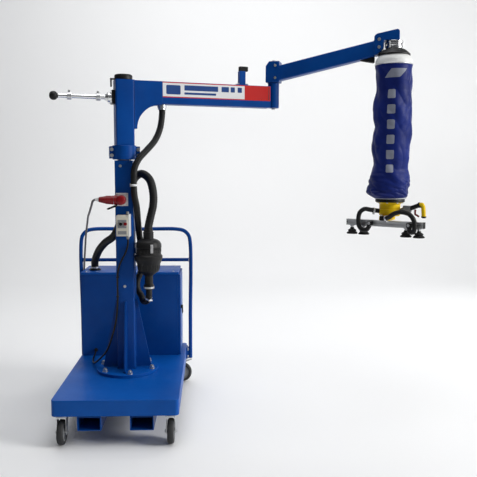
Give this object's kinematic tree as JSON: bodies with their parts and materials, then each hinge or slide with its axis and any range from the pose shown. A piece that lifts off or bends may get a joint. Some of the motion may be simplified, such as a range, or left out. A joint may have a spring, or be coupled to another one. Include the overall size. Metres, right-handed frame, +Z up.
{
  "type": "mobile vacuum tube lifter",
  "caption": "Wheeled trolley with a fixed column, a two-part swinging jib arm and a hanging fabric vacuum lifting tube with a suction-cup gripper bar.",
  "frame": {"origin": "middle of the bounding box, at floor level", "axes": "+Z up, +X to the trolley's right where the arm reaches out, +Y towards the push handle and cabinet"},
  "size_m": [2.4292, 1.308, 2.552],
  "materials": {
    "blue_paint": "powder coat",
    "black_plastic": "moulded",
    "black_rubber": "ribbed hose",
    "steel": "turned",
    "chrome": "polished",
    "zinc": "zinc plated",
    "cream_plastic": "satin",
    "white_plastic": "satin",
    "red_plastic": "gloss",
    "yellow_plastic": "gloss",
    "fabric": "coated fabric",
    "aluminium": "anodised",
    "iron": "as cast",
    "grey_tyre": "grey rubber",
    "grey_metal": "satin",
    "grey_plastic": "moulded"
  },
  "bodies": {
    "trolley": {"deck_tray": "blue_paint", "ballast_slab": "iron", "fork_underframe": "blue_paint", "base_flange": "blue_paint", "stud_ring": "zinc", "mast_column": "blue_paint", "king_post": "steel", "push_handle": "blue_paint", "cabinet_shell": "blue_paint", "cabinet_lid": "blue_paint", "vacuum_blower": "grey_metal", "switch_box": "cream_plastic", "supply_inlet": "red_plastic", "supply_plug_lead": "red_plastic", "control_lead": "black_plastic", "filter_canister": "black_plastic", "filter_lid": "black_plastic", "pump_hose": "black_rubber", "boom_hose": "black_rubber"},
    "cabinet door": {"cabinet_door": "blue_paint"},
    "door latch": {"door_latch": "black_plastic"},
    "start button": {"start_button": "black_plastic"},
    "stop button": {"stop_button": "red_plastic"},
    "mast": {"mast_head": "blue_paint", "mast_cap": "black_plastic", "slew_collar": "blue_paint", "boom_beam": "blue_paint", "elbow_tube": "blue_paint", "stop_post": "blue_paint", "tail_bracket": "black_plastic", "tail_rod": "chrome"},
    "tail knob": {"tail_knob": "black_plastic"},
    "forearm": {"elbow_hub": "blue_paint", "forearm_beam": "blue_paint", "forearm_head": "blue_paint", "vacuum_duct": "black_rubber"},
    "swivel": {"swivel_joint": "chrome", "swivel_hood": "black_plastic", "tube_collar": "white_plastic", "lift_sleeve": "fabric"},
    "gripper": {"valve_body": "yellow_plastic", "suction_bar": "aluminium", "suction_cup_1": "black_rubber", "suction_cup_2": "black_rubber", "suction_cup_3": "black_rubber", "suction_cup_4": "black_rubber", "control_arm": "grey_plastic", "feed_hose_left": "black_rubber", "feed_hose_right": "black_rubber"},
    "control lever": {"control_lever": "red_plastic"},
    "caster front left": {"caster_fork_front_left": "zinc"},
    "wheel front left": {"caster_wheel_front_left": "grey_tyre"},
    "caster front right": {"caster_fork_front_right": "zinc"},
    "wheel front right": {"caster_wheel_front_right": "grey_tyre"},
    "caster rear left": {"caster_fork_rear_left": "zinc"},
    "wheel rear left": {"caster_wheel_rear_left": "grey_tyre"},
    "caster rear right": {"caster_fork_rear_right": "zinc"},
    "wheel rear right": {"caster_wheel_rear_right": "grey_tyre"},
    "brake pedal left": {"brake_pedal_left": "zinc"},
    "brake pedal right": {"brake_pedal_right": "zinc"}
  },
  "joints": [
    {"name": "mast_slew", "type": "hinge", "parent": "trolley", "child": "mast", "pos_m": [-0.7653, -0.034, 1.74], "axis": [0, 0, 1], "range_deg": [-60, 90], "deforming": ["boom_hose"]},
    {"name": "elbow", "type": "hinge", "parent": "mast", "child": "forearm", "pos_m": [0.23475, 0.26223, 2.15], "axis": [0, 0, 1], "range_deg": [-80, 110]},
    {"name": "tube_swivel", "type": "hinge", "parent": "forearm", "child": "swivel", "pos_m": [1.01222, 0.02453, 2.45], "axis": [0, 0, 1], "continuous": true},
    {"name": "tube_lift", "type": "slide", "parent": "swivel", "child": "gripper", "axis": [0, 0, 1], "range_m": [-0.7, 0.3], "deforming": ["lift_sleeve"]},
    {"name": "control_squeeze", "type": "hinge", "parent": "gripper", "child": "control lever", "pos_m": [1.15407, -0.08629, 1.376], "axis": [0.6157, 0.788, 0], "range_deg": [-6, 0], "stiffness_Nm_per_rad": 2},
    {"name": "tail_knob_spin", "type": "hinge", "parent": "mast", "child": "tail knob", "pos_m": [-1.18718, -0.15897, 2.092], "axis": [0.9588, 0.284, 0], "continuous": true},
    {"name": "start_press", "type": "slide", "parent": "trolley", "child": "start button", "axis": [0, 1, 0], "range_m": [0, 0.005], "stiffness_N_per_m": 400},
    {"name": "stop_press", "type": "slide", "parent": "trolley", "child": "stop button", "axis": [0, 1, 0], "range_m": [0, 0.005], "stiffness_N_per_m": 400},
    {"name": "door_swing", "type": "hinge", "parent": "trolley", "child": "cabinet door", "pos_m": [-0.4323, 0.609, 0.58], "axis": [0, 0, 1], "range_deg": [0, 30]},
    {"name": "latch_turn", "type": "hinge", "parent": "cabinet door", "child": "door latch", "pos_m": [-0.4153, 0.325, 0.64], "axis": [1, 0, 0], "range_deg": [0, 90]},
    {"name": "swivel_front_left", "type": "hinge", "parent": "trolley", "child": "caster front left", "pos_m": [-1.0893, -0.559, 0.178], "axis": [0, 0, 1], "continuous": true},
    {"name": "roll_front_left", "type": "hinge", "parent": "caster front left", "child": "wheel front left", "pos_m": [-1.0893, -0.579, 0.075], "axis": [1, 0, 0], "continuous": true},
    {"name": "swivel_front_right", "type": "hinge", "parent": "trolley", "child": "caster front right", "pos_m": [-0.4413, -0.559, 0.178], "axis": [0, 0, 1], "continuous": true},
    {"name": "roll_front_right", "type": "hinge", "parent": "caster front right", "child": "wheel front right", "pos_m": [-0.4413, -0.579, 0.075], "axis": [1, 0, 0], "continuous": true},
    {"name": "swivel_rear_left", "type": "hinge", "parent": "trolley", "child": "caster rear left", "pos_m": [-1.0893, 0.564, 0.178], "axis": [0, 0, 1], "continuous": true},
    {"name": "roll_rear_left", "type": "hinge", "parent": "caster rear left", "child": "wheel rear left", "pos_m": [-1.0893, 0.578, 0.075], "axis": [1, 0, 0], "continuous": true},
    {"name": "swivel_rear_right", "type": "hinge", "parent": "trolley", "child": "caster rear right", "pos_m": [-0.4413, 0.564, 0.178], "axis": [0, 0, 1], "continuous": true},
    {"name": "roll_rear_right", "type": "hinge", "parent": "caster rear right", "child": "wheel rear right", "pos_m": [-0.4273, 0.564, 0.075], "axis": [0, 1, 0], "continuous": true},
    {"name": "pedal_left", "type": "hinge", "parent": "caster rear left", "child": "brake pedal left", "pos_m": [-1.0893, 0.612, 0.164], "axis": [1, 0, 0], "range_deg": [-12, 0]},
    {"name": "pedal_right", "type": "hinge", "parent": "caster rear right", "child": "brake pedal right", "pos_m": [-0.3933, 0.564, 0.164], "axis": [0, -1, 0], "range_deg": [-12, 0]}
  ]
}
